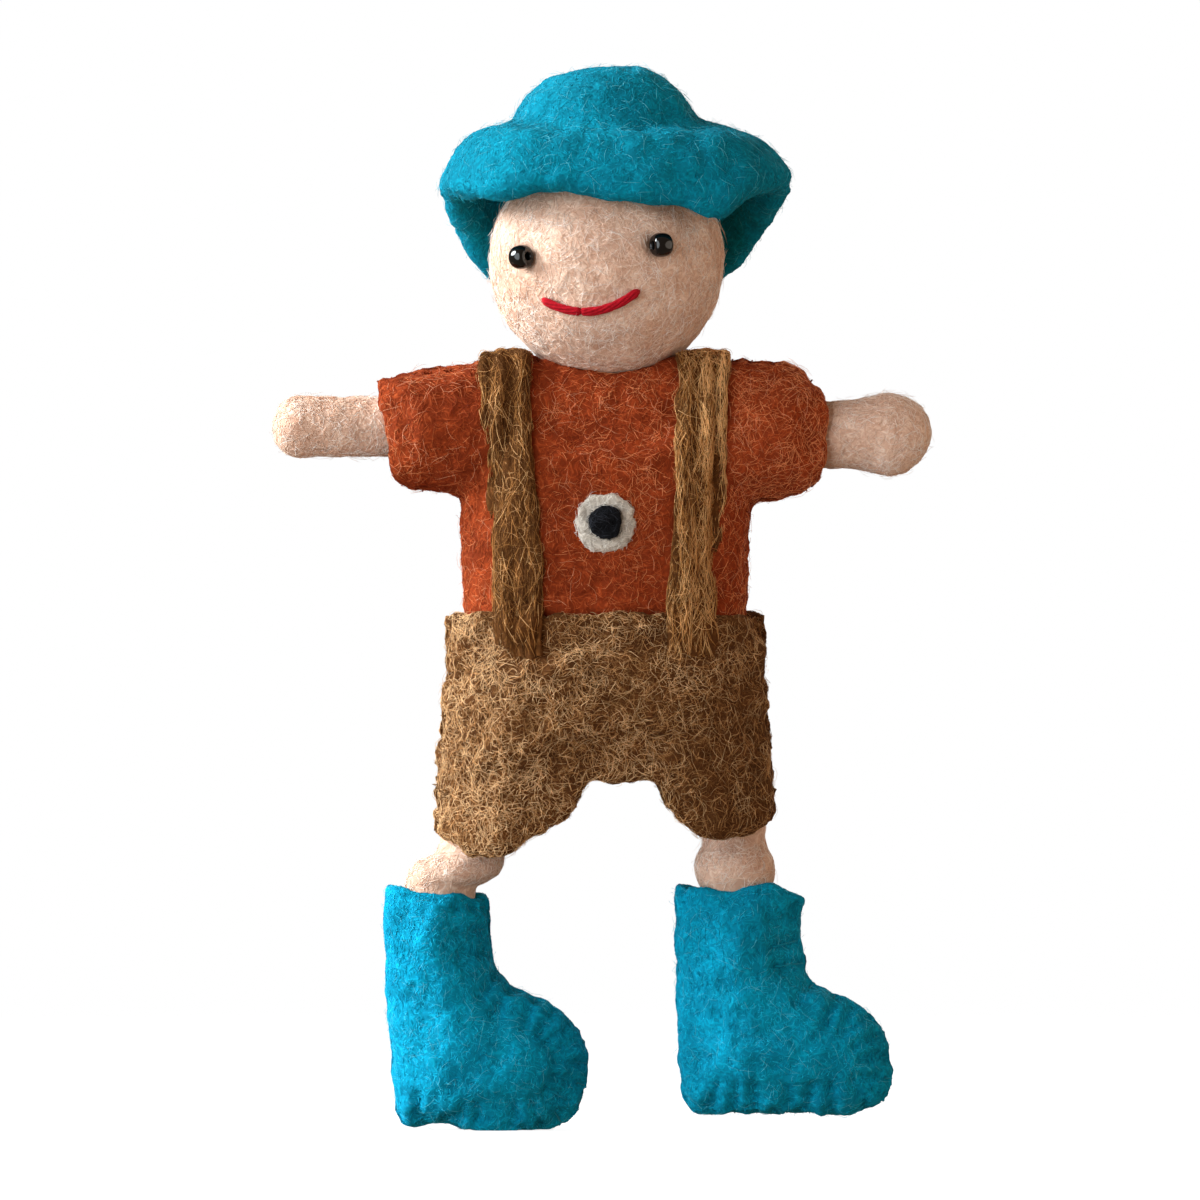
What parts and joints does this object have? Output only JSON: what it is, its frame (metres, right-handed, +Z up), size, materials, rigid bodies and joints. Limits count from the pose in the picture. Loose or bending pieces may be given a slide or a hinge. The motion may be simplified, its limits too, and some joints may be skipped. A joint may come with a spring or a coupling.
{
  "type": "finger puppet",
  "caption": "Felted wool finger puppet of a smiling doll in a brimmed hat, shirt, braced shorts and boots; the shirt and shorts form a pocket for a finger, and head, arms, legs and boots move.",
  "frame": {"origin": "middle of the finger pocket's mouth, level with the crotch between the legs", "axes": "+Z up towards the head, the face looks along -Y, +X to the right as seen from the front"},
  "size_m": [0.0792, 0.0353, 0.1279],
  "materials": {
    "skin_wool": "matte felted wool, pale pink-beige",
    "teal_felt": "matte felted wool, teal",
    "rust_felt": "matte felted wool, rust orange",
    "brown_felt": "matte felted wool, olive brown",
    "white_wool": "matte felted wool, off-white",
    "black_wool": "matte felted wool, black",
    "stuffing_wool": "loose wool stuffing",
    "black_glass": "glossy opaque black glass",
    "red_thread": "twisted cotton thread, red"
  },
  "bodies": {
    "torso": {"shirt_front": "rust_felt", "shirt_back": "rust_felt", "shorts_front": "brown_felt", "shorts_back": "brown_felt", "brace_left": "brown_felt", "brace_right": "brown_felt", "button_disc": "white_wool", "button_dot": "black_wool"},
    "neck": {"neck_stub": "skin_wool"},
    "head": {"head": "skin_wool", "hat": "teal_felt", "eye_left": "black_glass", "eye_right": "black_glass", "smile": "red_thread"},
    "arm_left": {"arm_left": "skin_wool"},
    "arm_right": {"arm_right": "skin_wool"},
    "leg_left": {"leg_left": "skin_wool"},
    "leg_right": {"leg_right": "skin_wool"},
    "boot_left": {"boot_left_near_side": "teal_felt", "boot_left_far_side": "teal_felt", "boot_left_stuffing": "stuffing_wool"},
    "boot_right": {"boot_right_near_side": "teal_felt", "boot_right_far_side": "teal_felt", "boot_right_stuffing": "stuffing_wool"}
  },
  "joints": [
    {"name": "neck_turn", "type": "hinge", "parent": "torso", "child": "neck", "pos_m": [0.0002, 0, 0.048], "axis": [0, 0, 1], "range_deg": [-40, 40], "stiffness_Nm_per_rad": 0.002},
    {"name": "head_nod", "type": "hinge", "parent": "neck", "child": "head", "pos_m": [0.0002, 0, 0.0622], "axis": [1, 0, 0], "range_deg": [-18, 18], "stiffness_Nm_per_rad": 0.004},
    {"name": "shoulder_left", "type": "hinge", "parent": "torso", "child": "arm_left", "pos_m": [-0.0244, 0, 0.0424], "axis": [0, 1, 0], "range_deg": [-25, 6], "stiffness_Nm_per_rad": 0.001},
    {"name": "shoulder_right", "type": "hinge", "parent": "torso", "child": "arm_right", "pos_m": [0.0236, 0, 0.0415], "axis": [0, -1, 0], "range_deg": [-18, 18], "stiffness_Nm_per_rad": 0.001},
    {"name": "hip_left", "type": "hinge", "parent": "torso", "child": "leg_left", "pos_m": [-0.0155, 0, -0.0057], "axis": [-1, 0, 0], "range_deg": [-18, 18]},
    {"name": "hip_right", "type": "hinge", "parent": "torso", "child": "leg_right", "pos_m": [0.0155, 0, -0.0045], "axis": [-1, 0, 0], "range_deg": [-18, 18]},
    {"name": "boot_left_turn", "type": "hinge", "parent": "leg_left", "child": "boot_left", "pos_m": [-0.0199, 0, -0.0124], "axis": [0, 0, -1], "range_deg": [-15, 90], "stiffness_Nm_per_rad": 0.0003},
    {"name": "boot_right_turn", "type": "hinge", "parent": "leg_right", "child": "boot_right", "pos_m": [0.0157, 0, -0.0124], "axis": [0, 0, -1], "range_deg": [-15, 90], "stiffness_Nm_per_rad": 0.0003}
  ]
}
